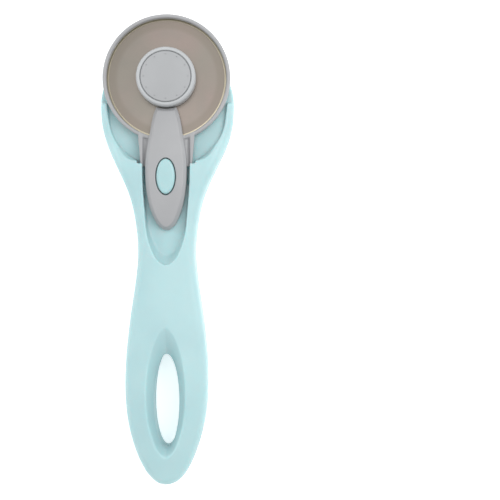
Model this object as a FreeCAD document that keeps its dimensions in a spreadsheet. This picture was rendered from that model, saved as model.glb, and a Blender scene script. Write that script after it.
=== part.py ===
import FreeCAD, Part
import math
import os
import Sketcher

# A 45 mm rotary cutter. X is across the handle, Y runs along it towards the blade, and Z points out
# of the front face. The origin is on the blade's axis, at the flat back of the clamp nut, so the
# cutter lies on the plane z = 0. Sizes are millimetres and degrees.

Vector = FreeCAD.Vector
Rotation = FreeCAD.Rotation
Placement = FreeCAD.Placement

# ---------------------------------------------------------------------------------------------
# Driving dimensions
# ---------------------------------------------------------------------------------------------

DIMENSIONS = {
    # the nut on the back
    "tool_overrun": 1.0,
    "nut_radius": 9.6,
    "nut_back": 0.0,
    "nut_top": 4.6,
    "nut_edge_back": 0.9,
    "nut_edge_front": 0.7,
    "nut_thread_clearance": 0.15,
    "nut_recess_clearance": 0.6,
    "nut_recess_headroom": 0.3,
    "nut_lobe_radius": 2.6,
    "nut_lobe_distance": 11.0,
    "nut_lobe_count": 8,
    "insert_across_flats": 10.0,
    "insert_bottom": 1.2,
    "insert_gap": 0.02,
    "thread_radius": 3.0,
    "cupped_washer_clearance": 0.5,
    "cupped_washer_outer": 7.6,
    "cupped_washer_thickness": 0.35,
    # the head of the handle and the blade stack
    "head_back": 5.2,
    "parting_height": 7.6,
    "pocket_floor": 10.0,
    "seat_top": 10.8,
    "washer_outer": 8.0,
    "washer_top": 11.35,
    "blade_bottom": 11.4,
    "blade_top": 11.7,
    "blade_radius": 22.5,
    "blade_hole_radius": 4.05,
    "bevel_width": 1.3,
    "edge_thickness": 0.04,
    "journal_radius": 4.0,
    "neck_radius": 3.9,
    "neck_flat": 3.0,
    "bolt_clearance": 0.05,
    "washer_clearance": 0.1,
    "bolt_bottom": 0.9,
    "bolt_head_radius": 7.0,
    "bolt_head_bottom": 15.4,
    "bolt_head_top": 16.5,
    "bolt_tip_bevel": 0.5,
    "hub_bore_clearance": 0.02,
    "hub_radius": 10.75,
    "hub_bottom": 11.75,
    "hub_top": 17.4,
    "hub_foot_bevel": 0.5,
    "hub_edge_height": 0.9,
    "hub_edge_width": 0.7,
    "hub_edge_turn": 0.3,
    "hub_groove_outer": 9.35,
    "hub_groove_bottom": 16.5,
    "hub_groove_bevel": 0.2,
    "cap_radius": 9.05,
    "cap_top": 17.3,
    "cap_edge_bevel": 0.15,
    "cap_mark_count": 12,
    "cap_mark_distance": 8.0,
    "cap_mark_radius": 0.22,
    "cap_mark_depth": 0.2,
    # the guard
    "guard_bottom": 12.0,
    "shoulder_set_back": 0.05,
    "shoulder_corner": 0.8,
    "shoulder_step": 2.0,
    "ring_outer": 23.25,
    "ring_inner": 21.8,
    "ring_side_height": 13.5,
    "ring_top": 14.1,
    "shoulder_top": 14.2,
    "shoulder_half_width": 10.2,
    "shoulder_end_half_width": 9.4,
    "shoulder_start": -19.5,
    "shoulder_end": -32.2,
    "valley_centre": 7.5,
    "valley_radius": 1.1,
    "valley_floor": 13.15,
    "valley_start": -20.9,
    "arm_half_width": 3.6,
    "arm_end": -10.6,
    "arm_gap": 0.4,
    "tongue_half_width": 7.5,
    "tongue_widest": -33.6,
    "tongue_tip": -55.3,
    "tongue_edge_bevel": 1.2,
    # the lock button in its window
    "button_station": -36.0,
    "window_half_width": 3.7,
    "window_half_length": 6.75,
    "window_ledge": 15.0,
    "skirt_room_half_width": 4.5,
    "skirt_room_half_length": 7.2,
    "button_half_width": 3.35,
    "button_half_length": 6.35,
    "button_top": 17.5,
    "button_rounding": 0.9,
    "skirt_half_width": 4.1,
    "skirt_half_length": 6.85,
    "skirt_bottom": 13.5,
    "skirt_top": 14.7,
    "spring_bore_radius": 1.75,
    "spring_bore_top": 15.6,
    "spring_mean_radius": 1.3,
    "spring_wire_radius": 0.17,
    "spring_turns": 7,
    # the plate under the guard
    "plate_bottom": 5.0,
    "plate_top": 6.2,
    "plate_half_width": 4.5,
    "plate_front": -24.3,
    "plate_rear": -47.2,
    "post_half_width": 2.2,
    "post_half_length": 1.3,
    "front_post_station": -26.8,
    "rear_post_station": -44.6,
    "post_hole_radius": 1.05,
    "post_screw_radius": 1.0,
    "post_screw_head_radius": 1.8,
    "post_screw_top": 14.4,
    "post_screw_head_height": 1.1,
    "post_screw_tip": 0.6,
    "post_screw_point": 0.4,
    "post_screw_slot_half_width": 0.25,
    "post_screw_slot_depth": 0.5,
    "post_screw_seat_clearance": 0.1,
    "post_screw_hole_clearance": 0.02,
    "post_screw_tip_room": 0.3,
    # the room that the guard moves in
    "guard_travel": 7.5,
    "scoop_floor": 11.7,
    "scoop_floor_underside": 10.0,
    "slot_half_width": 2.6,
    "slot_clearance": 0.4,
    "undercut_half_width": 10.6,
    "undercut_ceiling": 14.5,
    "undercut_run_out": 1.0,
    "undercut_mouth": 2.0,
    "deck_edge": -31.2,
    "groove_start": -32.0,
    "groove_end": -46.0,
    "groove_inner": 7.4,
    "groove_outer": 8.45,
    "groove_tip": 7.7,
    "groove_floor": 10.8,
    "scoop_wall_top": 14.9,
    # the handle's shells
    "shell_wall": 2.0,
    "back_wall": 1.8,
    "pocket_end_wall": 1.5,
    "scoop_end_wall": 2.3,
    "pocket_bevel_start": 12.4,
    "pocket_bevel_end": 16.5,
    "pocket_bevel_width": 2.2,
    "front_edge_rounding": 3.2,
    "back_edge_rounding": 1.8,
    "head_floor_underside": 8.2,
    "bolt_boss_radius": 8.0,
    "spot_face_radius": 8.2,
    "loop_centre": -117.6,
    "loop_half_length": 17.15,
    "loop_half_width": 4.6,
    "loop_boss_shift": 1.0,
    "loop_boss_half_length": 26.5,
    "loop_boss_half_width": 8.8,
    "loop_bevel_clearance": 0.05,
    "loop_back_bevel_top": 3.2,
    "loop_back_bevel_bottom": -0.6,
    "loop_back_bevel_width": 2.2,
    "loop_back_bevel_length": 3.2,
    "screw_radius": 1.35,
    "screw_hole_radius": 1.4,
    "screw_head_radius": 2.6,
    "screw_head_height": 1.6,
    "screw_face_radius": 2.08,
    "screw_crown_height": 0.96,
    "screw_point_radius": 0.405,
    "screw_cross_arm": 1.56,
    "screw_cross_bar": 0.31,
    "screw_cross_depth": 0.88,
    "screw_head_clearance": 0.3,
    "screw_tip_room": 0.3,
    "screw_boss_radius": 3.2,
    "head_screw_across": 17.0,
    "head_screw_station": -13.0,
    "neck_screw_station": -72.0,
    "butt_screw_station": -141.6,
    "head_screw_seat": 6.6,
    "neck_screw_seat": 3.4,
    "butt_screw_seat": 4.4,
    "head_screw_top": 9.2,
    "neck_screw_top": 12.0,
    "butt_screw_top": 11.5,
}

# The handle's outline: station along Y and half width.
OUTLINE = {
    "butt_tip": (-148.1, 0.0),
    "butt_corner": (-146.3, 4.7),
    "butt_round": (-142.0, 8.1),
    "butt_flank": (-135.4, 11.1),
    "palm_low": (-126.7, 13.6),
    "palm": (-111.5, 15.0),
    "palm_high": (-98.0, 14.4),
    "grip": (-83.0, 12.6),
    "grip_high": (-71.5, 10.95),
    "neck": (-63.0, 10.4),
    "neck_flare": (-53.0, 11.2),
    "throat": (-43.5, 13.3),
    "shoulder_low": (-34.7, 17.0),
    "shoulder_flare": (-26.0, 21.2),
    "cheek": (-18.5, 23.7),
    "cheek_top": (-11.5, 24.5),
    "ear": (-5.0, 24.1),
    "head_side": (2.5, 20.8),
    "head_corner": (9.0, 12.8),
    "head_tip": (12.0, 0.0),
}

# The handle's side view: station along Y, front height, back height, and how fast the front and the
# back fall away from the middle (height lost per width squared).
SIDE_VIEW = {
    "beyond_head": (20.0, 12.4, 5.1, 0.002, 0.0),
    "over_bolt": (4.0, 12.4, 5.1, 0.002, 0.0),
    "under_hub": (-12.0, 12.5, 5.1, 0.002, 0.0),
    "under_ring": (-20.0, 12.5, 3.8, 0.002, 0.0),
    "under_cheeks": (-25.0, 13.8, 2.9, 0.002, 0.001),
    "deck_start": (-31.0, 15.9, 2.2, 0.003, 0.003),
    "under_button": (-37.0, 16.3, 1.8, 0.004, 0.004),
    "under_tongue": (-50.0, 16.3, 1.2, 0.006, 0.007),
    "at_neck": (-66.0, 16.3, 0.6, 0.009, 0.009),
    "at_grip": (-86.0, 16.9, 0.2, 0.010, 0.009),
    "at_palm": (-112.0, 17.8, 0.0, 0.011, 0.009),
    "at_heel": (-132.0, 17.0, 0.6, 0.011, 0.009),
    "at_butt": (-148.0, 14.8, 2.2, 0.011, 0.009),
    "beyond_butt": (-156.0, 13.8, 3.2, 0.011, 0.009),
}

# The scoop that the tongue slides in: station along Y and half width.
SCOOP = {
    "scoop_mouth": (-29.0, 8.5),
    "scoop_flank": (-40.0, 8.35),
    "scoop_waist": (-50.0, 7.6),
    "scoop_low": (-57.0, 6.8),
    "scoop_end": (-62.5, 5.1),
    "scoop_corner": (-66.1, 3.0),
    "scoop_tip": (-67.9, 0.0),
}

# The edge of the scoop's floor, where its wall begins to lean out: station along Y and half width.
SCOOP_FOOT = {
    "foot_mouth": (-29.0, 8.45),
    "foot_flank": (-40.0, 8.3),
    "foot_waist": (-50.0, 7.5),
    "foot_low": (-56.0, 6.3),
    "foot_end": (-60.6, 4.4),
    "foot_corner": (-63.6, 2.4),
    "foot_tip": (-64.9, 0.0),
}

# The guard's arm between the hub and the widest part of the tongue: station along Y and half width.
ARM_FLANK = {
    "arm_waist": (-15.3, 5.1),
    "arm_flare": (-19.5, 5.8),
    "tongue_swell": (-26.6, 7.0),
}

# The lip of the scooped edge around the hanging loop: station along Y and half width.
LOOP_LIP = {
    "lip_point": (-89.5, 0.0),
    "lip_high": (-91.5, 1.9),
    "lip_ogive": (-97.3, 4.7),
    "lip_shoulder": (-103.2, 6.2),
    "lip_widest": (-114.8, 7.2),
    "lip_flank": (-126.4, 6.3),
    "lip_low": (-132.3, 4.5),
    "lip_round": (-137.2, 2.1),
    "lip_bottom": (-138.9, 0.0),
}

# The scooped edge's sections: share of the way from the hole to the lip, and height.
LOOP_BEVEL = {
    "bevel_at_hole": (0.0, 12.4),
    "bevel_slope": (0.5, 15.4),
    "bevel_at_lip": (1.0, 17.3),
    "bevel_beyond_lip": (1.3, 18.2),
}

# The pocket around the lower half of the ring: station along Y and half width.
POCKET = {
    "pocket_top": (-8.8, 22.0),
    "pocket_side": (-13.2, 21.5),
    "pocket_flank": (-18.7, 20.5),
    "pocket_corner": (-24.1, 17.7),
    "pocket_low": (-27.9, 14.05),
    "pocket_end": (-30.0, 10.6),
}

# The top of the guard's arm and tongue: station along Y and height.
ARM_HEIGHTS = {
    "arm_start": (-8.6, 14.8),
    "arm_rise": (-20.0, 16.1),
    "tongue_crest": (-32.0, 16.8),
    "tongue_level": (-44.0, 16.7),
    "tongue_fall": (-51.0, 15.7),
    "tongue_foot": (-56.3, 14.0),
}


# Limits for tools that cut right through: past the sides, past the ends, over the front, under the back.
WIDE = 40.0
LONG = 200.0
ABOVE = 25.0
BELOW = -5.0

SURFACE_ROWS = 34          # spans along a crowned surface
SURFACE_COLUMNS = (-30, -15, 0, 15, 30)
LEAST_CUT = 1e-6           # a pocket that removes less than this cut nothing


# ---------------------------------------------------------------------------------------------
# The document and its sheet
# ---------------------------------------------------------------------------------------------

document = FreeCAD.newDocument("rotary_cutter")
sheet = document.addObject("Spreadsheet::Sheet", "dims")
row_number = 0


def add_cell(alias, value):
    """Write one named number into the sheet."""
    global row_number
    row_number += 1
    sheet.set(f"A{row_number}", alias)
    sheet.set(f"B{row_number}", str(value))
    sheet.setAlias(f"B{row_number}", alias)


for alias, value in DIMENSIONS.items():
    add_cell(alias, value)
for table in (OUTLINE, SCOOP, SCOOP_FOOT, ARM_FLANK, LOOP_LIP, POCKET):
    for alias, (station, half_width) in table.items():
        add_cell(alias + "_station", station)
        add_cell(alias + "_half_width", half_width)
for alias, (station, height) in ARM_HEIGHTS.items():
    add_cell(alias + "_station", station)
    add_cell(alias + "_height", height)
for alias, (share, height) in LOOP_BEVEL.items():
    add_cell(alias + "_share", share)
    add_cell(alias + "_height", height)
for alias, (station, front, back, front_fall, back_fall) in SIDE_VIEW.items():
    add_cell(alias + "_station", station)
    add_cell(alias + "_front", front)
    add_cell(alias + "_back", back)
    add_cell(alias + "_front_fall", front_fall)
    add_cell(alias + "_back_fall", back_fall)
document.recompute()


def size(alias):
    """The number that the sheet holds under this name."""
    return float(sheet.get(alias))


# ---------------------------------------------------------------------------------------------
# Helpers for bodies built from sketches
# ---------------------------------------------------------------------------------------------

def new_body(name):
    body = document.addObject("PartDesign::Body", name)
    body.Label = name
    return body


def new_sketch(body, name, role, height=None):
    """A sketch on one of the body's own origin planes, raised by a sheet expression if given."""
    sketch = body.newObject("Sketcher::SketchObject", name)
    plane = next(item for item in body.Origin.OriginFeatures if item.Role == role)
    sketch.AttachmentSupport = [(plane, "")]
    sketch.MapMode = "FlatFace"
    if height:
        sketch.setExpression("AttachmentOffset.Base.z", height)
    document.recompute()
    return sketch


def bind(sketch, kind, *where, expression):
    """Add one dimension to the sketch and tie it to the sheet."""
    value = float(sketch.evalExpression(expression))
    constraint = sketch.addConstraint(Sketcher.Constraint(kind, *where, value))
    sketch.setExpression(f"Constraints[{constraint}]", expression)


def draw_polygon(sketch, corners):
    """A closed outline of straight lines whose corners are pairs of sheet expressions."""
    places = [[float(sketch.evalExpression(text)) for text in corner] for corner in corners]
    first = sketch.GeometryCount
    for start, end in zip(places, places[1:] + places[:1]):
        sketch.addGeometry(Part.LineSegment(Vector(*start, 0), Vector(*end, 0)))
    count = len(corners)
    for index in range(count):
        following = first + (index + 1) % count
        sketch.addConstraint(Sketcher.Constraint("Coincident", first + index, 2, following, 1))
    for index, (across, up) in enumerate(corners):
        bind(sketch, "DistanceX", -1, 1, first + index, 1, expression=across)
        bind(sketch, "DistanceY", -1, 1, first + index, 1, expression=up)


def draw_circle(sketch, radius, across="0", up="0"):
    centre = Vector(float(sketch.evalExpression(across)), float(sketch.evalExpression(up)), 0)
    start_radius = float(sketch.evalExpression(radius))
    circle = sketch.addGeometry(Part.Circle(centre, Vector(0, 0, 1), start_radius))
    bind(sketch, "Radius", circle, expression=radius)
    bind(sketch, "DistanceX", -1, 1, circle, 3, expression=across)
    bind(sketch, "DistanceY", -1, 1, circle, 3, expression=up)


def revolve(body, name, corners):
    """Turn an outline in the XZ plane a full turn about Z."""
    sketch = new_sketch(body, name + "_profile", "XZ_Plane")
    draw_polygon(sketch, corners)
    turned = body.newObject("PartDesign::Revolution", name)
    turned.Profile = sketch
    turned.ReferenceAxis = (sketch, ["V_Axis"])
    turned.Angle = 360
    document.recompute()
    return turned


def pad(body, sketch, name, length):
    padded = body.newObject("PartDesign::Pad", name)
    padded.Profile = sketch
    padded.setExpression("Length", length)
    document.recompute()
    return padded


def pocket(body, sketch, name, length, upwards=False):
    """Cut a sketch into the body, and make sure that it did cut."""
    before = body.Shape.Volume
    cut = body.newObject("PartDesign::Pocket", name)
    cut.Profile = sketch
    cut.setExpression("Length", length)
    cut.Reversed = upwards
    document.recompute()
    if not body.Shape.Volume < before - LEAST_CUT:
        raise RuntimeError(f"{name} cut nothing")
    return cut


def polar_pattern(body, feature, name, count):
    """Repeat a feature evenly about Z."""
    pattern = body.newObject("PartDesign::PolarPattern", name)
    pattern.Originals = [feature]
    axis = next(item for item in body.Origin.OriginFeatures if item.Role == "Z_Axis")
    pattern.Axis = (axis, [""])
    pattern.Angle = 360
    pattern.setExpression("Occurrences", count)
    body.Tip = pattern
    document.recompute()
    return pattern


def freeform(name, shape):
    """A sub-part whose curved shape is set directly from the sheet's numbers."""
    solid = shape.Solids[0] if len(shape.Solids) == 1 else shape
    feature = document.addObject("Part::Feature", name)
    feature.Label = name
    feature.Shape = solid
    feature.Placement = Placement()
    return feature


# ---------------------------------------------------------------------------------------------
# Helpers for the curved shapes
# ---------------------------------------------------------------------------------------------

def table_points(table):
    """The right-hand points of an outline table, from the sheet."""
    return [Vector(size(key + "_half_width"), size(key + "_station"), 0) for key in table]


def mirrored(points):
    return [Vector(-point.x, point.y, point.z) for point in reversed(points)]


def spline_edge(points, closed=False):
    curve = Part.BSplineCurve()
    curve.interpolate(Points=points, PeriodicFlag=closed)
    return curve.toShape()


def line_edge(start, end):
    return Part.LineSegment(start, end).toShape()


def extruded(face, bottom, top):
    lifted = face.copy()
    lifted.translate(Vector(0, 0, bottom))
    return lifted.extrude(Vector(0, 0, top - bottom))


def box_between(low, high):
    """A box from its low corner to its high corner."""
    spans = [high[axis] - low[axis] for axis in range(3)]
    return Part.makeBox(*spans, Vector(*low))


def ellipse_wire(half_width, half_length, station, height):
    """An ellipse that is longer along Y."""
    ellipse = Part.Ellipse(Vector(0, 0, 0), half_length, half_width)
    wire = Part.Wire([ellipse.toShape()])
    wire.Placement = Placement(Vector(0, station, height), Rotation(Vector(0, 0, 1), 90))
    return wire


def ellipse_prism(half_width, half_length, station, bottom, top):
    return Part.Face(ellipse_wire(half_width, half_length, station, bottom)).extrude(
        Vector(0, 0, top - bottom))


def cylinder(radius, bottom, top, across=0.0, station=0.0):
    return Part.makeCylinder(radius, top - bottom, Vector(across, station, bottom))


# ---------------------------------------------------------------------------------------------
# The handle
# ---------------------------------------------------------------------------------------------

SCREWS = {   # name: (sign across, name of the station cell, name of the seat cell, name of the top cell)
    "head_screw_left": (-1, "head_screw_station", "head_screw_seat", "head_screw_top"),
    "head_screw_right": (1, "head_screw_station", "head_screw_seat", "head_screw_top"),
    "neck_screw": (0, "neck_screw_station", "neck_screw_seat", "neck_screw_top"),
    "butt_screw": (0, "butt_screw_station", "butt_screw_seat", "butt_screw_top"),
}


def handle_face(inset=0.0):
    """The handle's outline as a face, drawn in from the edge by inset."""
    right = table_points(OUTLINE)
    points = right + mirrored(right[1:-1])
    outer = Part.BSplineCurve()
    outer.interpolate(Points=points, PeriodicFlag=True)
    inner_points = []
    for point in points:
        along = outer.tangent(outer.parameter(point))[0]
        inner_points.append(point + Vector(-along.y, along.x, 0).normalize() * inset)
    return Part.Face(Part.Wire([spline_edge(inner_points, closed=True)]))


def side_slopes(stations, values):
    """Slopes of a smooth curve through the values that never overshoots them."""
    rises = [(values[index + 1] - values[index]) / (stations[index + 1] - stations[index])
             for index in range(len(stations) - 1)]
    slopes = [rises[0]]
    for before, after in zip(rises, rises[1:]):
        slopes.append(2 * before * after / (before + after) if before * after > 0 else 0.0)
    return slopes + [rises[-1]]


def side_value(column, station):
    """One column of the side view at a station between its rows."""
    stations = [size(key + "_station") for key in SIDE_VIEW]
    values = [size(f"{key}_{column}") for key in SIDE_VIEW]
    slopes = side_slopes(stations, values)
    index = max(row for row in range(len(stations) - 1) if stations[row] >= station)
    span = stations[index + 1] - stations[index]
    part = (station - stations[index]) / span
    return (values[index] * (1 + 2 * part) * (1 - part) ** 2
            + values[index + 1] * part ** 2 * (3 - 2 * part)
            + span * slopes[index] * part * (1 - part) ** 2
            + span * slopes[index + 1] * part ** 2 * (part - 1))


def handle_surface(side, shift=0.0):
    """The crowned front or back surface, moved by shift along Z."""
    sign = -1 if side == "front" else 1
    first = size("beyond_head_station")
    last = size("beyond_butt_station")
    rows = []
    for row in range(SURFACE_ROWS + 1):
        station = first + (last - first) * row / SURFACE_ROWS
        middle = side_value(side, station) + shift
        fall = side_value(side + "_fall", station)
        rows.append([Vector(x, station, middle + sign * fall * x * x) for x in SURFACE_COLUMNS])
    surface = Part.BSplineSurface()
    surface.interpolate(rows)
    return surface.toShape()


def widened(points, distance):
    """Points drawn outwards by distance, all but the first and the last."""
    curve = Part.BSplineCurve()
    curve.interpolate(points)
    moved = []
    for point in points[1:-1]:
        along = curve.tangent(curve.parameter(point))[0]
        moved.append(point + Vector(-along.y, along.x, 0).normalize() * distance)
    return [points[0], *moved, points[-1]]


def pocket_wire(widening=0.0, height=0.0):
    """The pocket's outline, open past the top of the head."""
    right = widened(table_points(POCKET), widening)
    left = mirrored(right)
    top = size("pocket_top_station")
    end = Vector(right[-1].x, size("deck_edge"), 0)
    other_end = Vector(-end.x, end.y, 0)
    edges = [
        line_edge(Vector(-WIDE, WIDE, 0), Vector(WIDE, WIDE, 0)),
        line_edge(Vector(WIDE, WIDE, 0), Vector(WIDE, top, 0)),
        line_edge(Vector(WIDE, top, 0), right[0]),
        spline_edge(right),
        line_edge(right[-1], end),
        line_edge(end, other_end),
        line_edge(other_end, left[0]),
        spline_edge(left),
        line_edge(left[-1], Vector(-WIDE, top, 0)),
        line_edge(Vector(-WIDE, top, 0), Vector(-WIDE, WIDE, 0)),
    ]
    wire = Part.Wire(edges)
    wire.translate(Vector(0, 0, height))
    return wire


def pocket_bevel():
    """What is cut away above the pocket's wall, so that the wall leans outwards near the deck."""
    return Part.makeLoft([
        pocket_wire(height=size("pocket_bevel_start")),
        pocket_wire(size("pocket_bevel_width"), size("pocket_bevel_end")),
    ], True)


def loop_wire(share, height):
    """The outline at a share of the way from the loop's hole to its lip."""
    lip = table_points(LOOP_LIP)
    middle = (lip[0].y + lip[-1].y) / 2
    reach = (lip[0].y - lip[-1].y) / 2
    right = []
    for point in lip:
        angle = math.acos((point.y - middle) / reach)
        hole = Vector(size("loop_half_width") * math.sin(angle),
                      size("loop_centre") + size("loop_half_length") * math.cos(angle), 0)
        right.append(hole + (point - hole) * share)
    wire = Part.Wire([spline_edge(right), spline_edge(mirrored(right))])
    wire.translate(Vector(0, 0, height))
    return wire


def loop_bevel():
    """The scooped edge around the loop in the front."""
    return Part.makeLoft([loop_wire(size(key + "_share"), size(key + "_height")) for key in LOOP_BEVEL],
                         True)


def loop_back_bevel():
    """The plain bevel around the loop in the back."""
    half_width = size("loop_half_width") + size("loop_bevel_clearance")
    half_length = size("loop_half_length") + size("loop_bevel_clearance")
    centre = size("loop_centre")
    return Part.makeLoft([
        ellipse_wire(half_width, half_length, centre, size("loop_back_bevel_top")),
        ellipse_wire(half_width + size("loop_back_bevel_width"),
                     half_length + size("loop_back_bevel_length"),
                     centre, size("loop_back_bevel_bottom")),
    ], True)


def bolt_hole():
    """The hole through both shells that fits the bolt's two flats."""
    clearance = size("bolt_clearance")
    flat = size("neck_flat") + clearance
    return cylinder(size("neck_radius") + clearance, BELOW, ABOVE).common(
        box_between((-flat, -WIDE, BELOW), (flat, WIDE, ABOVE)))


def scoop_wire(table, height):
    right = table_points(table)
    left = mirrored(right[:-1])
    wire = Part.Wire([spline_edge(right + left), line_edge(left[-1], right[0])])
    wire.translate(Vector(0, 0, height))
    return wire


def scoop():
    """The room that the tongue slides in, whose wall leans out towards the grip."""
    wall_top = size("scoop_wall_top")
    lower = Part.makeLoft([scoop_wire(SCOOP_FOOT, size("scoop_floor")), scoop_wire(SCOOP, wall_top)], True)
    return lower.fuse(extruded(Part.Face(scoop_wire(SCOOP, 0.0)), wall_top, ABOVE))


def screw_places():
    for sign, station, seat, top in SCREWS.values():
        yield sign * size("head_screw_across"), size(station), size(seat), size(top)


def slot_box():
    """The slot that the guard's posts and the button's spring run in."""
    half = size("slot_half_width")
    clearance = size("slot_clearance")
    front = size("front_post_station") + size("post_half_length") + clearance
    rear = size("rear_post_station") - size("post_half_length") - size("guard_travel") - clearance
    return box_between((-half, rear, size("parting_height")),
                       (half, front, size("scoop_floor") + size("tool_overrun")))


def undercut():
    """The room under the deck that the guard's shoulders slide into."""
    half = size("undercut_half_width")
    rear = size("shoulder_end") - size("guard_travel") - size("undercut_run_out")
    return box_between((-half, rear, size("scoop_floor")),
                       (half, size("deck_edge") + size("undercut_mouth"), size("undercut_ceiling")))


def side_grooves():
    """A tapered groove in the floor beside each scoop wall."""
    grooves = []
    for side in (-1, 1):
        points = [Vector(side * size("groove_inner"), size("groove_start"), 0),
                  Vector(side * size("groove_outer"), size("groove_start"), 0),
                  Vector(side * size("groove_tip"), size("groove_end"), 0)]
        face = Part.Face(Part.makePolygon(points + points[:1]))
        grooves.append(extruded(face, size("groove_floor"), size("undercut_ceiling")))
    return grooves


def front_cavity(inner):
    """The hollow of the front shell, one region after another along the handle."""
    parting = size("parting_height")
    pocket_end = size("deck_edge") - size("pocket_end_wall")
    grip_start = size("scoop_tip_station") - size("scoop_end_wall")
    head = extruded(inner, parting, size("head_floor_underside")).common(
        box_between((-WIDE, pocket_end, parting), (WIDE, WIDE, ABOVE)))
    middle = extruded(inner, parting, size("scoop_floor_underside")).common(
        box_between((-WIDE, grip_start, parting), (WIDE, pocket_end, ABOVE)))
    grip = extruded(inner, parting, ABOVE).common(
        handle_surface("front", -size("shell_wall")).extrude(Vector(0, 0, -WIDE)))
    grip = grip.common(box_between((-WIDE, -LONG, parting), (WIDE, grip_start, ABOVE)))
    return head.fuse([middle, grip])


def solid_cores(bottom, top):
    """What stays solid inside both shells: the bosses and the wall around the loop."""
    cores = [cylinder(size("bolt_boss_radius"), bottom, top)]
    cores.append(ellipse_prism(size("loop_boss_half_width"), size("loop_boss_half_length"),
                               size("loop_centre") + size("loop_boss_shift"), bottom, top))
    for across, station, _, _ in screw_places():
        cores.append(cylinder(size("screw_boss_radius"), bottom, top, across, station))
    return cores


def make_handle_front():
    parting = size("parting_height")
    under_surface = handle_surface("front").extrude(Vector(0, 0, -WIDE))
    shell = extruded(handle_face(), parting, ABOVE).common(under_surface).Solids[0]
    rims = [edge for edge in shell.Edges
            if edge.Length > LONG / 2 and edge.BoundBox.ZMax > parting + size("shell_wall")]
    shell = shell.makeFillet(size("front_edge_rounding"), rims)

    around_seat = extruded(Part.Face(pocket_wire()), size("pocket_floor"), ABOVE).cut(
        cylinder(size("washer_outer"), BELOW, size("seat_top")))
    shell = shell.cut([
        around_seat,
        pocket_bevel(),
        scoop(),
        undercut(),
        slot_box(),
        ellipse_prism(size("loop_half_width"), size("loop_half_length"), size("loop_centre"), 0.0, ABOVE),
        loop_bevel(),
        *side_grooves(),
    ])
    hollow = front_cavity(handle_face(inset=size("shell_wall")))
    shell = shell.cut(hollow.cut(solid_cores(0.0, ABOVE)))

    holes = [bolt_hole()]
    for across, station, _, screw_top in screw_places():
        holes.append(cylinder(size("screw_hole_radius"), parting - size("shell_wall"),
                              screw_top + size("screw_tip_room"), across, station))
    return freeform("handle_front", shell.cut(holes))


def make_handle_back():
    parting = size("parting_height")
    over_surface = handle_surface("back").extrude(Vector(0, 0, WIDE))
    shell = extruded(handle_face(), BELOW, parting).common(over_surface).Solids[0]
    rims = [edge for edge in shell.Edges
            if edge.Length > LONG / 2 and edge.BoundBox.ZMin < parting - size("shell_wall")]
    shell = shell.makeFillet(size("back_edge_rounding"), rims)

    hollow = extruded(handle_face(inset=size("shell_wall")), BELOW, parting).common(
        handle_surface("back", size("back_wall")).extrude(Vector(0, 0, WIDE)))
    shell = shell.cut(hollow.cut(solid_cores(BELOW, parting)))

    cuts = [
        ellipse_prism(size("loop_half_width"), size("loop_half_length"), size("loop_centre"), BELOW, ABOVE),
        loop_back_bevel(),
        cylinder(size("spot_face_radius"), 0, size("head_back")),
        cylinder(size("nut_radius") + size("nut_recess_clearance"), BELOW,
                 size("nut_top") + size("nut_recess_headroom")),
        bolt_hole(),
    ]
    for across, station, seat, _ in screw_places():
        cuts.append(cylinder(size("screw_hole_radius"), 0, ABOVE, across, station))
        cuts.append(cylinder(size("screw_head_radius") + size("screw_head_clearance"), BELOW, seat,
                             across, station))
    return freeform("handle_back", shell.cut(cuts))


def make_handle_screws():
    """Pan-head screws that go in from the back; each is drawn at z = 0 and placed by the sheet."""
    for name, (sign, station, seat, top) in SCREWS.items():
        body = new_body(name)
        length = f"(dims.{top} - dims.{seat})"
        revolve(body, "shank_and_head", [
            ("0", "-dims.screw_head_height"),
            ("dims.screw_face_radius", "-dims.screw_head_height"),
            ("dims.screw_head_radius", "-dims.screw_crown_height"),
            ("dims.screw_head_radius", "0"),
            ("dims.screw_radius", "0"),
            ("dims.screw_radius", f"{length} - dims.screw_radius"),
            ("dims.screw_point_radius", length),
            ("0", length),
        ])
        recess = new_sketch(body, "cross_recess_profile", "XY_Plane", "-dims.screw_head_height")
        arm = "dims.screw_cross_arm"
        bar = "dims.screw_cross_bar"
        draw_polygon(recess, [
            (bar, bar), (arm, bar), (arm, f"-{bar}"), (bar, f"-{bar}"),
            (bar, f"-{arm}"), (f"-{bar}", f"-{arm}"), (f"-{bar}", f"-{bar}"), (f"-{arm}", f"-{bar}"),
            (f"-{arm}", bar), (f"-{bar}", bar), (f"-{bar}", arm), (bar, arm),
        ])
        pocket(body, recess, "cross_recess", "dims.screw_cross_depth", upwards=True)
        body.setExpression("Placement.Base.x", f"{sign} * dims.head_screw_across")
        body.setExpression("Placement.Base.y", f"dims.{station}")
        body.setExpression("Placement.Base.z", f"dims.{seat}")


# ---------------------------------------------------------------------------------------------
# The blade stack, from the front to the back
# ---------------------------------------------------------------------------------------------

def make_hub():
    body = new_body("hub")
    revolve(body, "boss", [
        ("dims.journal_radius + dims.hub_bore_clearance", "dims.hub_bottom"),
        ("dims.hub_radius - dims.hub_foot_bevel", "dims.hub_bottom"),
        ("dims.hub_radius", "dims.hub_bottom + dims.hub_foot_bevel"),
        ("dims.hub_radius", "dims.hub_top - dims.hub_edge_height"),
        ("dims.hub_radius - dims.hub_edge_turn", "dims.hub_top - dims.hub_edge_turn"),
        ("dims.hub_radius - dims.hub_edge_width", "dims.hub_top"),
        ("dims.hub_groove_outer + dims.hub_groove_bevel", "dims.hub_top"),
        ("dims.hub_groove_outer", "dims.hub_top - dims.hub_groove_bevel"),
        ("dims.hub_groove_outer", "dims.hub_groove_bottom"),
        ("dims.bolt_head_radius + dims.bolt_clearance", "dims.hub_groove_bottom"),
        ("dims.bolt_head_radius + dims.bolt_clearance", "dims.bolt_head_bottom"),
        ("dims.journal_radius + dims.hub_bore_clearance", "dims.bolt_head_bottom"),
    ])


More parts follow.
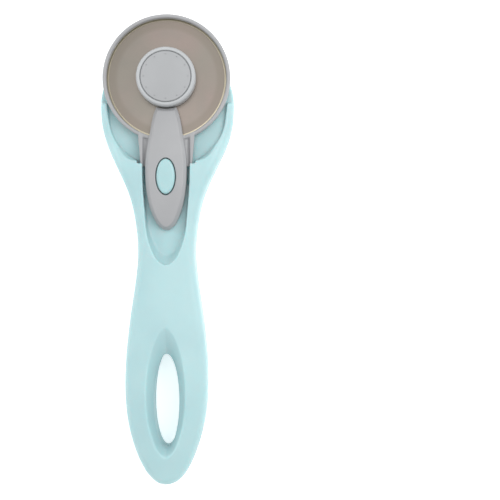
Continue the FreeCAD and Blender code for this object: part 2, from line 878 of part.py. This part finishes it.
def make_hub_cap():
    body = new_body("hub_cap")
    revolve(body, "disc", [
        ("0", "dims.bolt_head_top"),
        ("dims.cap_radius", "dims.bolt_head_top"),
        ("dims.cap_radius", "dims.cap_top - dims.cap_edge_bevel"),
        ("dims.cap_radius - dims.cap_edge_bevel", "dims.cap_top"),
        ("0", "dims.cap_top"),
    ])
    mark = new_sketch(body, "mark_profile", "XY_Plane", "dims.cap_top")
    draw_circle(mark, "dims.cap_mark_radius", "dims.cap_mark_distance")
    dimple = pocket(body, mark, "mark", "dims.cap_mark_depth")
    polar_pattern(body, dimple, "ring_of_marks", "dims.cap_mark_count")


def make_blade_bolt():
    body = new_body("blade_bolt")
    revolve(body, "turned_bolt", [
        ("0", "dims.bolt_bottom"),
        ("dims.thread_radius - dims.bolt_tip_bevel", "dims.bolt_bottom"),
        ("dims.thread_radius", "dims.bolt_bottom + dims.bolt_tip_bevel"),
        ("dims.thread_radius", "dims.head_back"),
        ("dims.neck_radius", "dims.head_back"),
        ("dims.neck_radius", "dims.seat_top"),
        ("dims.journal_radius", "dims.seat_top"),
        ("dims.journal_radius", "dims.bolt_head_bottom"),
        ("dims.bolt_head_radius", "dims.bolt_head_bottom"),
        ("dims.bolt_head_radius", "dims.bolt_head_top"),
        ("0", "dims.bolt_head_top"),
    ])
    flats = new_sketch(body, "flats_profile", "XY_Plane", "dims.head_back")
    reach = "dims.neck_radius * 2"
    for sign in ("", "-"):
        draw_polygon(flats, [
            (f"{sign}dims.neck_flat", f"-{reach}"), (f"{sign}{reach}", f"-{reach}"),
            (f"{sign}{reach}", reach), (f"{sign}dims.neck_flat", reach),
        ])
    pocket(body, flats, "two_flats", "dims.seat_top - dims.head_back", upwards=True)


def make_blade():
    body = new_body("blade")
    middle = "(dims.blade_bottom + dims.blade_top) / 2"
    revolve(body, "bevelled_disc", [
        ("dims.blade_hole_radius", "dims.blade_bottom"),
        ("dims.blade_radius - dims.bevel_width", "dims.blade_bottom"),
        ("dims.blade_radius", f"{middle} - dims.edge_thickness / 2"),
        ("dims.blade_radius", f"{middle} + dims.edge_thickness / 2"),
        ("dims.blade_radius - dims.bevel_width", "dims.blade_top"),
        ("dims.blade_hole_radius", "dims.blade_top"),
    ])


def make_blade_washer():
    body = new_body("blade_washer")
    revolve(body, "flat_ring", [
        ("dims.journal_radius + dims.washer_clearance", "dims.seat_top"),
        ("dims.washer_outer", "dims.seat_top"),
        ("dims.washer_outer", "dims.washer_top"),
        ("dims.journal_radius + dims.washer_clearance", "dims.washer_top"),
    ])


def make_spring_washer():
    """A cupped ring whose outer edge bears on the handle and whose inner edge bears on the nut."""
    body = new_body("spring_washer")
    revolve(body, "cupped_ring", [
        ("dims.thread_radius + dims.cupped_washer_clearance", "dims.nut_top"),
        ("dims.cupped_washer_outer", "dims.head_back - dims.cupped_washer_thickness"),
        ("dims.cupped_washer_outer", "dims.head_back"),
        ("dims.thread_radius + dims.cupped_washer_clearance", "dims.nut_top + dims.cupped_washer_thickness"),
    ])


def make_clamp_nut():
    body = new_body("clamp_nut")
    revolve(body, "disc", [
        ("dims.thread_radius + dims.nut_thread_clearance", "dims.nut_back"),
        ("dims.nut_radius - dims.nut_edge_back", "dims.nut_back"),
        ("dims.nut_radius", "dims.nut_back + dims.nut_edge_back"),
        ("dims.nut_radius", "dims.nut_top - dims.nut_edge_front"),
        ("dims.nut_radius - dims.nut_edge_front", "dims.nut_top"),
        ("dims.thread_radius + dims.nut_thread_clearance", "dims.nut_top"),
    ])
    lobe = new_sketch(body, "finger_dip_profile", "XY_Plane", "dims.nut_back - dims.tool_overrun")
    draw_circle(lobe, "dims.nut_lobe_radius", "dims.nut_lobe_distance")
    dip = pocket(body, lobe, "finger_dip", "dims.nut_top - dims.nut_back + 2 * dims.tool_overrun",
                 upwards=True)
    polar_pattern(body, dip, "finger_dips", "dims.nut_lobe_count")
    seat = new_sketch(body, "insert_seat_profile", "XY_Plane", "dims.insert_bottom")
    draw_polygon(seat, hexagon("dims.insert_across_flats"))
    pocket(body, seat, "insert_seat", "dims.nut_top - dims.insert_bottom + dims.tool_overrun", upwards=True)


def hexagon(across_flats):
    """The corners of a regular hexagon with two flats square to Y."""
    half = f"({across_flats}) / 2"
    corner = f"({across_flats}) / 2 / cos(30)"
    return [
        (corner, "0"), (f"{corner} / 2", half), (f"-{corner} / 2", half),
        (f"-{corner}", "0"), (f"-{corner} / 2", f"-{half}"), (f"{corner} / 2", f"-{half}"),
    ]


def make_nut_insert():
    body = new_body("nut_insert")
    outline = new_sketch(body, "hexagon_profile", "XY_Plane", "dims.insert_bottom")
    draw_polygon(outline, hexagon("dims.insert_across_flats - 2 * dims.insert_gap"))
    draw_circle(outline, "dims.thread_radius + dims.bolt_clearance")
    pad(body, outline, "hexagon", "dims.nut_top - dims.insert_bottom - dims.insert_gap")


# ---------------------------------------------------------------------------------------------
# The guard, its plate and the lock button
# ---------------------------------------------------------------------------------------------

def guard_ring():
    bottom = size("guard_bottom")
    inner = size("ring_inner")
    outer = size("ring_outer")
    side = size("ring_side_height")
    corners = [Vector(inner, 0, side), Vector(inner, 0, bottom), Vector(outer, 0, bottom),
               Vector(outer, 0, side)]
    crest = Vector((inner + outer) / 2, 0, size("ring_top"))
    edges = [line_edge(start, end) for start, end in zip(corners, corners[1:])]
    edges.append(Part.Arc(corners[-1], crest, corners[0]).toShape())
    return Part.Face(Part.Wire(edges)).revolve(Vector(0, 0, 0), Vector(0, 0, 1), 360)


def guard_shoulders():
    """The plate that joins the ring to the tongue, with a valley along each side."""
    start = size("shoulder_start")
    end = size("shoulder_end")
    wide = size("shoulder_half_width")
    narrow = size("shoulder_end_half_width")
    corner = size("shoulder_corner")
    right = [Vector(wide, start, 0), Vector(wide, start - size("shoulder_step"), 0),
             Vector(narrow, end + corner, 0),
             Vector(narrow - corner, end, 0)]
    points = right + mirrored(right)
    plate = extruded(Part.Face(Part.makePolygon(points + points[:1])), size("guard_bottom"),
                     size("shoulder_top"))
    cuts = [cylinder(size("ring_inner") + size("shoulder_set_back"), 0, ABOVE)]
    for side in (-1, 1):
        foot = Vector(side * size("valley_centre"), end - size("shoulder_step"),
                      size("valley_floor") + size("valley_radius"))
        cuts.append(Part.makeCylinder(size("valley_radius"), size("valley_start") - foot.y, foot,
                                      Vector(0, 1, 0)))
    return plate.cut(cuts)


def guard_spine():
    """The arm that runs down from the hub and widens into the tongue."""
    widest = size("tongue_widest")
    half = size("tongue_half_width")
    arm_end = size("arm_end")
    arm = size("arm_half_width")
    right = spline_edge([Vector(arm, arm_end, 0)] + table_points(ARM_FLANK) + [Vector(half, widest, 0)])
    left = right.mirror(Vector(0, 0, 0), Vector(1, 0, 0))
    tip_curve = Part.Ellipse(Vector(0, 0, 0), widest - size("tongue_tip"), half)
    tip = Part.ArcOfEllipse(tip_curve, -math.pi / 2, math.pi / 2).toShape()
    tip.Placement = Placement(Vector(0, widest, 0), Rotation(Vector(0, 0, 1), -90))
    hub_side = Part.Arc(Vector(-arm, arm_end, 0), Vector(0, -size("hub_radius") - size("arm_gap"), 0),
                        Vector(arm, arm_end, 0)).toShape()
    outline = Part.Face(Part.Wire(Part.sortEdges([right, left, tip, hub_side])[0]))
    blank = extruded(outline, size("guard_bottom"), ABOVE)

    heights = [(size(key + "_station"), size(key + "_height")) for key in ARM_HEIGHTS]
    crest = [Vector(-WIDE, station, height) for station, height in heights]
    foot = [Vector(-WIDE, station, 0) for station, _ in (heights[0], heights[-1])]
    side_view = Part.Face(Part.Wire([line_edge(foot[0], crest[0]), spline_edge(crest),
                                     line_edge(crest[-1], foot[1]), line_edge(foot[1], foot[0])]))
    spine = blank.common(side_view.extrude(Vector(2 * WIDE, 0, 0))).Solids[0]
    crest_foot = size("guard_bottom") + size("tool_overrun")
    crest_edges = [edge for edge in spine.Edges if edge.BoundBox.ZMin > crest_foot]
    return spine.makeChamfer(size("tongue_edge_bevel"), crest_edges)


def make_blade_guard():
    button = size("button_station")
    below = size("guard_bottom") - size("tool_overrun")
    guard = guard_ring().fuse([guard_shoulders(), guard_spine()])
    cuts = [
        ellipse_prism(size("window_half_width"), size("window_half_length"), button, below, ABOVE),
        ellipse_prism(size("skirt_room_half_width"), size("skirt_room_half_length"), button,
                      below, size("window_ledge")),
    ]
    for station in ("front_post_station", "rear_post_station"):
        cuts.append(cylinder(size("post_screw_radius") + size("post_screw_hole_clearance"), below,
                             size("post_screw_top") + size("post_screw_tip_room"), 0, size(station)))
    return freeform("blade_guard", guard.cut(cuts).removeSplitter())


def make_guard_slide_plate():
    body = new_body("guard_slide_plate")
    plate = new_sketch(body, "plate_profile", "XY_Plane", "dims.plate_bottom")
    draw_polygon(plate, [
        ("dims.plate_half_width", "dims.plate_front"), ("-dims.plate_half_width", "dims.plate_front"),
        ("-dims.plate_half_width", "dims.plate_rear"), ("dims.plate_half_width", "dims.plate_rear"),
    ])
    pad(body, plate, "plate", "dims.plate_top - dims.plate_bottom")
    for place in ("front_post_station", "rear_post_station"):
        post = new_sketch(body, place + "_outline", "XY_Plane", "dims.plate_top")
        near = f"dims.{place} + dims.post_half_length"
        far = f"dims.{place} - dims.post_half_length"
        draw_polygon(post, [
            ("dims.post_half_width", near), ("-dims.post_half_width", near),
            ("-dims.post_half_width", far), ("dims.post_half_width", far),
        ])
        pad(body, post, place + "_pad", "dims.guard_bottom - dims.plate_top")
        below = "dims.plate_bottom - dims.tool_overrun"
        hole = new_sketch(body, place + "_hole_outline", "XY_Plane", below)
        draw_circle(hole, "dims.post_hole_radius", "0", f"dims.{place}")
        pocket(body, hole, place + "_hole", "dims.guard_bottom - dims.plate_bottom + 2 * dims.tool_overrun",
               upwards=True)
        seat = new_sketch(body, place + "_seat_outline", "XY_Plane", below)
        draw_circle(seat, "dims.post_screw_head_radius + dims.post_screw_seat_clearance", "0",
                    f"dims.{place}")
        pocket(body, seat, place + "_seat", "dims.plate_top - dims.plate_bottom + dims.tool_overrun",
               upwards=True)


def make_plate_screws():
    """Small cheese-head screws from the plate up into the tongue."""
    for name, station in (("slide_plate_screw_front", "front_post_station"),
                          ("slide_plate_screw_rear", "rear_post_station")):
        body = new_body(name)
        length = "(dims.post_screw_top - dims.plate_top)"
        revolve(body, "shank_and_head", [
            ("0", "-dims.post_screw_head_height"),
            ("dims.post_screw_head_radius", "-dims.post_screw_head_height"),
            ("dims.post_screw_head_radius", "0"),
            ("dims.post_screw_radius", "0"),
            ("dims.post_screw_radius", f"{length} - dims.post_screw_tip"),
            ("dims.post_screw_point", length),
            ("0", length),
        ])
        slot = new_sketch(body, "slot_profile", "XY_Plane", "-dims.post_screw_head_height")
        reach = "(dims.post_screw_head_radius + dims.tool_overrun)"
        half = "dims.post_screw_slot_half_width"
        draw_polygon(slot, [(reach, half), (f"-{reach}", half), (f"-{reach}", f"-{half}"),
                            (reach, f"-{half}")])
        pocket(body, slot, "driver_slot", "dims.post_screw_slot_depth", upwards=True)
        body.setExpression("Placement.Base.y", f"dims.{station}")
        body.setExpression("Placement.Base.z", "dims.plate_top")


def part_ellipse_block(name, half_width, half_length, bottom, length):
    """An elliptical block from Part's own objects, longer along Y."""
    outline = document.addObject("Part::Ellipse", name + "_outline")
    outline.setExpression("MinorRadius", half_width)
    outline.setExpression("MajorRadius", half_length)
    outline.Placement = Placement(Vector(0, 0, 0), Rotation(Vector(0, 0, 1), 90))
    outline.setExpression("Placement.Base.z", bottom)
    block = document.addObject("Part::Extrusion", name)
    block.Base = outline
    block.DirMode = "Custom"
    block.Dir = Vector(0, 0, 1)
    block.Solid = True
    block.setExpression("LengthFwd", length)
    return block


def make_lock_button():
    """The oval button: a rounded cap, a skirt that keeps it in, and a bore that holds the spring."""
    cap = part_ellipse_block("button_cap", "dims.button_half_width", "dims.button_half_length",
                             "dims.skirt_top", "dims.button_top - dims.skirt_top")
    document.recompute()
    rounded_cap = document.addObject("Part::Fillet", "button_rounded_cap")
    rounded_cap.Base = cap
    top_edge = max(range(len(cap.Shape.Edges)), key=lambda index: cap.Shape.Edges[index].BoundBox.ZMin)
    rounding = size("button_rounding")
    rounded_cap.Edges = [(top_edge + 1, rounding, rounding)]
    skirt = part_ellipse_block("button_skirt", "dims.skirt_half_width", "dims.skirt_half_length",
                               "dims.skirt_bottom", "dims.skirt_top - dims.skirt_bottom")
    solid = document.addObject("Part::MultiFuse", "button_solid")
    solid.Shapes = [rounded_cap, skirt]
    bore = document.addObject("Part::Cylinder", "button_bore")
    bore.setExpression("Radius", "dims.spring_bore_radius")
    bore.setExpression("Height", "dims.spring_bore_top - dims.guard_bottom")
    bore.setExpression("Placement.Base.z", "dims.guard_bottom")
    button = document.addObject("Part::Cut", "lock_button")
    button.Label = "lock_button"
    button.Base = solid
    button.Tool = bore
    button.setExpression("Placement.Base.y", "dims.button_station")
    return button


def make_button_spring():
    """A coil between the plate and the top of the button's bore."""
    body = new_body("button_spring")
    wire = new_sketch(body, "wire_section", "XZ_Plane")
    draw_circle(wire, "dims.spring_wire_radius", "dims.spring_mean_radius", "dims.spring_wire_radius")
    coil = body.newObject("PartDesign::AdditiveHelix", "coil")
    coil.Profile = wire
    coil.ReferenceAxis = (wire, ["V_Axis"])
    coil.Mode = "height-turns-angle"
    coil.setExpression("Height", "dims.spring_bore_top - dims.plate_top - dims.spring_wire_radius * 2")
    coil.setExpression("Turns", "dims.spring_turns")
    document.recompute()
    body.setExpression("Placement.Base.y", "dims.button_station")
    body.setExpression("Placement.Base.z", "dims.plate_top")


# ---------------------------------------------------------------------------------------------
# Build, check and write
# ---------------------------------------------------------------------------------------------

def check_and_export(names):
    document.recompute()
    for item in document.Objects:
        if "Invalid" in item.State or "Error" in item.State:
            raise RuntimeError(f"{item.Label} is {item.State}")
    os.makedirs("parts", exist_ok=True)
    for name in names:
        shape = document.getObjectsByLabel(name)[0].Shape
        if shape.isNull() or not shape.isValid() or len(shape.Solids) != 1:
            raise RuntimeError(f"{name} is not one valid solid")
        shape.exportStep(f"parts/{name}.step")
        box = shape.BoundBox
        print(f"{name}: {shape.Volume:.1f} mm3, z {box.ZMin:.2f} to {box.ZMax:.2f}")


SUBPARTS = [
    "handle_front", "handle_back", *SCREWS, "blade_bolt", "hub", "hub_cap", "blade_washer", "blade",
    "spring_washer", "clamp_nut", "nut_insert", "blade_guard", "guard_slide_plate",
    "slide_plate_screw_front", "slide_plate_screw_rear", "lock_button", "button_spring",
]

make_handle_front()
make_handle_back()
make_handle_screws()
make_blade_bolt()
make_hub()
make_hub_cap()
make_blade_washer()
make_blade()
make_spring_washer()
make_clamp_nut()
make_nut_insert()
make_blade_guard()
make_guard_slide_plate()
make_plate_screws()
make_lock_button()
make_button_spring()
check_and_export(SUBPARTS)
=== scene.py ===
from math import radians

import bpy
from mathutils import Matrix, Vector


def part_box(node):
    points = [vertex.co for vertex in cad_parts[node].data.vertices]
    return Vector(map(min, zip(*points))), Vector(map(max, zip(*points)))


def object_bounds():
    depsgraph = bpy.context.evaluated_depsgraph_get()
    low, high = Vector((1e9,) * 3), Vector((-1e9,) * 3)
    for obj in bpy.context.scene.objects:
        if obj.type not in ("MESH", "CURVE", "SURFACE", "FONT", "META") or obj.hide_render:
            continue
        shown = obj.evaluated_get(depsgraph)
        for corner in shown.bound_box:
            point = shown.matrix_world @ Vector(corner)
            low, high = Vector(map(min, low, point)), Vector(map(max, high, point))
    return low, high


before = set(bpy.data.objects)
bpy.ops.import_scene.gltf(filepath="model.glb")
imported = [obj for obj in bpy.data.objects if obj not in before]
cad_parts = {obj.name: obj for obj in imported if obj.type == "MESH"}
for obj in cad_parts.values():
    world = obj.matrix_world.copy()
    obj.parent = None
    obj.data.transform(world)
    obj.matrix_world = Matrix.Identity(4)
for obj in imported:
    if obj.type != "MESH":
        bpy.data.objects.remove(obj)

# A 45 mm rotary cutter. Everything is in metres in the CAD frame: X across the handle, Y along it
# towards the blade, Z out of the front face, with the blade's axis on X = Y = 0.

MM = 0.001
CAD_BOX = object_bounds()
BLADE_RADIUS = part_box("blade")[1][0]
BEVEL_WIDTH = 1.3 * MM
BEVEL_START = BLADE_RADIUS - BEVEL_WIDTH

# Noise scales, in features per metre.
BROAD_FLOW = 45.0
BLADE_TINT = 55.0
BLADE_SMUDGE = 140.0
GLOSS_PATCHES = 220.0
BRASS_TARNISH = 500.0
METAL_PATCHES = 700.0
BRASS_PATCHES = 900.0
PLATING_CRYSTALS = 900.0
PLATING_GRAIN = 2600.0
BRASS_GRAIN = 3000.0
PLASTIC_GRAIN = 4200.0
POLISH_LINES = 9000.0
FLOOR_CLOUDS = 4.0
FLOOR_GRAIN = 60.0


# ---------------------------------------------------------------------------------------------
# Building node materials
# ---------------------------------------------------------------------------------------------

def shade(red, green, blue):
    """A colour given as 0 to 255 display values, in the linear form that shaders take."""
    channels = []
    for value in (red, green, blue):
        share = value / 255
        channels.append(share / 12.92 if share <= 0.04045 else ((share + 0.055) / 1.055) ** 2.4)
    return (*channels, 1.0)


class Material:
    """A Principled material and short calls that add nodes to it."""

    def __init__(self, name, **settings):
        self.data = bpy.data.materials.new(name)
        self.data.use_nodes = True
        self.tree = self.data.node_tree
        self.shader = self.tree.nodes["Principled BSDF"]
        for socket, value in settings.items():
            self.shader.inputs[socket.replace("_", " ")].default_value = value

    def feed(self, node, socket, value):
        """Set a socket to a number, or link another node's output to it."""
        if isinstance(value, bpy.types.NodeSocket):
            self.tree.links.new(value, node.inputs[socket])
        else:
            node.inputs[socket].default_value = value

    def node(self, kind, output, **inputs):
        made = self.tree.nodes.new(kind)
        for socket, value in inputs.items():
            self.feed(made, socket.replace("_", " "), value)
        return made.outputs[output]

    def place(self):
        return self.node("ShaderNodeTexCoord", "Object")

    def noise(self, per_metre, detail=2.0, where=None):
        return self.node("ShaderNodeTexNoise", "Fac", Vector=where or self.place(), Scale=per_metre,
                         Detail=detail)

    def spread(self, value, low, high, start=0.0, end=1.0):
        """Turn values from start to end into values from low to high."""
        return self.node("ShaderNodeMapRange", "Result", Value=value, From_Min=start, From_Max=end,
                         To_Min=low, To_Max=high)

    def blend(self, share, first, second):
        """A colour between first and second."""
        made = self.tree.nodes.new("ShaderNodeMix")
        made.data_type = "RGBA"
        factor_socket, first_color_socket, second_color_socket, color_output = 0, 6, 7, 2
        self.feed(made, factor_socket, share)
        self.feed(made, first_color_socket, first)
        self.feed(made, second_color_socket, second)
        return made.outputs[color_output]

    def radius(self):
        """Distance from the blade's axis, in metres."""
        flatten = self.tree.nodes.new("ShaderNodeVectorMath")
        flatten.operation = "MULTIPLY"
        self.feed(flatten, 0, self.place())
        self.feed(flatten, 1, (1.0, 1.0, 0.0))
        length = self.tree.nodes.new("ShaderNodeVectorMath")
        length.operation = "LENGTH"
        self.feed(length, 0, flatten.outputs["Vector"])
        return length.outputs["Value"]

    def color(self, value):
        self.feed(self.shader, "Base Color", value)

    def roughness(self, value):
        self.feed(self.shader, "Roughness", value)

    def relief(self, height, distance, strength=1.0):
        self.feed(self.shader, "Normal",
                  self.node("ShaderNodeBump", "Normal", Height=height, Distance=distance,
                            Strength=strength))


def moulded_plastic(name, dark, light, gloss=0.42, grain=0.006 * MM):
    """Satin moulded plastic: faint flow marks, fine grain and uneven gloss."""
    made = Material(name, IOR=1.49)
    flow = made.spread(made.noise(BROAD_FLOW, detail=3.0), 0.0, 1.0, 0.35, 0.65)
    made.color(made.blend(flow, dark, light))
    patches = made.noise(GLOSS_PATCHES, detail=3.0)
    made.roughness(made.spread(patches, gloss - 0.06, gloss + 0.06, 0.3, 0.7))
    made.relief(made.noise(PLASTIC_GRAIN, detail=1.0), grain)
    return made


def translucent(made, scatter, depth, share):
    """Let some light through the plastic, so that its shaded hollows stay coloured."""
    made.shader.inputs["Subsurface Weight"].default_value = share
    made.shader.inputs["Subsurface Radius"].default_value = scatter
    made.shader.inputs["Subsurface Scale"].default_value = depth
    return made


def blade_steel():
    """Coated steel: concentric polish lines, faint warm and green tints, a painted shade in a band
    just inside the guard ring, and a bright ground bevel that is partly its bare steel and partly a
    painted highlight.
    """
    made = Material("coated_blade_steel", Metallic=1.0, Anisotropic=0.35)
    radius = made.radius()
    tint = made.spread(made.noise(BLADE_TINT, detail=1.0), 0.0, 1.0, 0.35, 0.7)
    face = made.blend(tint, shade(135, 130, 122), shade(140, 128, 122))
    smudge = made.spread(made.noise(BLADE_SMUDGE, detail=4.0), 0.0, 0.35, 0.45, 0.75)
    face = made.blend(smudge, face, shade(123, 123, 116))
    lines = made.noise(POLISH_LINES, where=made.node("ShaderNodeCombineXYZ", "Vector", X=radius))
    face = made.blend(made.spread(lines, 0.0, 0.3, 0.3, 0.7), face, shade(128, 122, 116))
    # Painted shade: the face darkens in a band just inside the guard ring, standing in for the ring's
    # shadow on the blade.
    ring_shade_start = BEVEL_START - 3.6 * MM
    ring_shade_full = BEVEL_START - 2.2 * MM
    face = made.blend(made.spread(radius, 0.0, 0.6, ring_shade_start, ring_shade_full), face, shade(124, 117, 108))
    # The ground bevel is lighter and golden: partly its bare ground steel, partly a painted highlight
    # where the bevel catches the light.
    bevel_line = 0.05 * MM
    bevel = made.spread(radius, 0.0, 1.0, BEVEL_START - bevel_line, BEVEL_START)
    made.color(made.blend(bevel, face, shade(190, 182, 160)))
    made.roughness(made.spread(lines, 0.3, 0.42, 0.3, 0.7))
    made.relief(lines, 0.003 * MM, 0.6)
    return made


def plated_steel(name, dark, light, gloss=0.28):
    """Zinc-plated steel: a faint crystalline mottle, dull patches and a fine grain."""
    made = Material(name, Metallic=1.0)
    mottle = made.node("ShaderNodeTexVoronoi", "Distance", Vector=made.place(), Scale=PLATING_CRYSTALS)
    made.color(made.blend(made.spread(mottle, 0.0, 1.0, 0.1, 0.8), dark, light))
    patches = made.noise(METAL_PATCHES, detail=3.0)
    made.roughness(made.spread(patches, gloss - 0.08, gloss + 0.12, 0.3, 0.7))
    made.relief(made.noise(PLATING_GRAIN), 0.004 * MM, 0.6)
    return made


def brass():
    """Turned brass with darker tarnish in patches."""
    made = Material("turned_brass", Metallic=1.0)
    tarnish = made.spread(made.noise(BRASS_TARNISH, detail=4.0), 0.0, 1.0, 0.4, 0.75)
    made.color(made.blend(tarnish, shade(224, 194, 122), shade(182, 146, 82)))
    made.roughness(made.spread(made.noise(BRASS_PATCHES), 0.2, 0.36, 0.3, 0.7))
    made.relief(made.noise(BRASS_GRAIN), 0.003 * MM, 0.5)
    return made


PALE_TEAL_SCATTER = (0.35, 1.0, 1.0)
TEAL = translucent(moulded_plastic("teal_plastic", shade(168, 201, 205), shade(174, 206, 209)),
                   PALE_TEAL_SCATTER, 2.0 * MM, 0.5)
BUTTON = translucent(moulded_plastic("button_plastic", shade(160, 195, 198), shade(166, 201, 204),
                                     gloss=0.34), PALE_TEAL_SCATTER, 1.2 * MM, 0.25)
GUARD = moulded_plastic("guard_plastic", shade(155, 156, 158), shade(162, 163, 165), gloss=0.4)
HUB = moulded_plastic("hub_plastic", shade(174, 177, 179), shade(181, 184, 186), gloss=0.36)
CAP = moulded_plastic("cap_plastic", shade(157, 159, 161), shade(165, 167, 169), gloss=0.46,
                      grain=0.012 * MM)
INNER = moulded_plastic("inner_plastic", shade(205, 206, 204), shade(214, 215, 213), gloss=0.32)
BLADE = blade_steel()
BOLT = plated_steel("bolt_steel", shade(182, 184, 188), shade(202, 204, 208))
SCREW = plated_steel("screw_steel", shade(160, 163, 168), shade(188, 190, 194), gloss=0.32)
SPRING = plated_steel("spring_steel", shade(150, 152, 156), shade(180, 182, 186), gloss=0.24)
BRASS = brass()

FINISHES = {
    TEAL: ("handle_front", "handle_back"),
    BUTTON: ("lock_button",),
    GUARD: ("blade_guard", "clamp_nut"),
    HUB: ("hub",),
    CAP: ("hub_cap",),
    INNER: ("guard_slide_plate",),
    BLADE: ("blade",),
    BOLT: ("blade_bolt", "blade_washer"),
    SCREW: ("head_screw_left", "head_screw_right", "neck_screw", "butt_screw",
            "slide_plate_screw_front", "slide_plate_screw_rear"),
    SPRING: ("spring_washer", "button_spring"),
    BRASS: ("nut_insert",),
}


# ---------------------------------------------------------------------------------------------
# Softening the moulded parts' edges
# ---------------------------------------------------------------------------------------------

def moulded_edges(name, cell, passes):
    """Remake the part's surface in small even cells and relax it, which rounds every edge a little."""
    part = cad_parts[name]
    remake = part.modifiers.new("even_cells", "REMESH")
    remake.mode = "VOXEL"
    remake.voxel_size = cell
    remake.use_smooth_shade = True
    relax = part.modifiers.new("rounded_edges", "SMOOTH")
    relax.factor = 0.5
    relax.iterations = passes


def broken_edges(name, width):
    """Break the sharp edges of a turned or cut part with a small rounding."""
    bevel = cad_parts[name].modifiers.new("broken_edges", "BEVEL")
    bevel.width = width
    bevel.segments = 2
    bevel.limit_method = "ANGLE"
    bevel.angle_limit = radians(35)
    bevel.harden_normals = True


# Cell size and smoothing passes of each moulded part.
MOULDED = {
    "handle_front": (0.30 * MM, 8),
    "handle_back": (0.35 * MM, 6),
    "blade_guard": (0.16 * MM, 4),
    "lock_button": (0.12 * MM, 4),
    "clamp_nut": (0.16 * MM, 4),
}

# Width of the broken edges on each turned or cut part.
BROKEN = {"hub": 0.12 * MM, "blade_bolt": 0.10 * MM, "nut_insert": 0.08 * MM}

for finish, names in FINISHES.items():
    for name in names:
        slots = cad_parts[name].data.materials
        slots.clear()
        slots.append(finish.data)
for name, (cell, passes) in MOULDED.items():
    moulded_edges(name, cell, passes)
for name, width in BROKEN.items():
    broken_edges(name, width)


# ---------------------------------------------------------------------------------------------
# Floor, lights and camera
# ---------------------------------------------------------------------------------------------

LOWEST, HIGHEST = CAD_BOX
MIDDLE = Vector(((LOWEST[0] + HIGHEST[0]) / 2, (LOWEST[1] + HIGHEST[1]) / 2, 0.0))
FLOOR_SIZE = 6.0

# Each light's place from the middle of the cutter, its size and its power in watts.
LIGHTS = {
    "key": ((0.5, 0.25, 0.65), 0.6, 3.1),
    "fill": ((-0.6, 0.25, 0.3), 0.5, 1.3),
    "overhead": ((0.0, 0.05, 1.2), 0.8, 2.2),
}
WORLD_STRENGTH = 0.73

CAMERA_DISTANCE = 350 * MM
VIEW_WIDTH = 182.5 * MM
SENSOR_WIDTH = 36.0
AIM = Vector((30.4 * MM, MIDDLE.y - 0.1 * MM, 12 * MM))


def make_floor():
    """A plain white light table that the cutter lies on."""
    bpy.ops.mesh.primitive_plane_add(size=FLOOR_SIZE, location=(MIDDLE.x, MIDDLE.y, LOWEST[2]))
    floor = bpy.context.object
    floor.name = "floor"
    paper = Material("light_table", Emission_Color=(1.0, 1.0, 1.0, 1.0), Emission_Strength=0.42)
    paper.color(paper.blend(paper.noise(FLOOR_CLOUDS), shade(253, 253, 254), shade(255, 255, 255)))
    paper.roughness(paper.spread(paper.noise(FLOOR_GRAIN), 0.8, 0.95))
    floor.data.materials.append(paper.data)


def make_light(name, place, size, power):
    data = bpy.data.lights.new(name, "AREA")
    data.shape = "DISK"
    data.size = size
    data.energy = power
    light = bpy.data.objects.new(name, data)
    light.location = MIDDLE + Vector(place)
    light.rotation_euler = (-Vector(place)).to_track_quat("-Z", "Y").to_euler()
    bpy.context.collection.objects.link(light)


def make_world(strength):
    world = bpy.data.worlds.new("studio")
    world.use_nodes = True
    background = world.node_tree.nodes["Background"]
    background.inputs["Color"].default_value = (1.0, 1.0, 1.0, 1.0)
    background.inputs["Strength"].default_value = strength
    bpy.context.scene.world = world


def make_camera():
    """Straight above, with the cutter left of the middle of the picture."""
    data = bpy.data.cameras.new("camera")
    data.sensor_width = SENSOR_WIDTH
    data.lens = SENSOR_WIDTH * CAMERA_DISTANCE / VIEW_WIDTH
    data.clip_start = 10 * MM
    camera = bpy.data.objects.new("camera", data)
    camera.location = AIM + Vector((0.0, 0.0, CAMERA_DISTANCE))
    bpy.context.collection.objects.link(camera)
    bpy.context.scene.camera = camera


make_floor()
for name, (place, size, power) in LIGHTS.items():
    make_light(name, place, size, power)
make_world(WORLD_STRENGTH)
make_camera()
bpy.context.scene.view_settings.view_transform = "Standard"
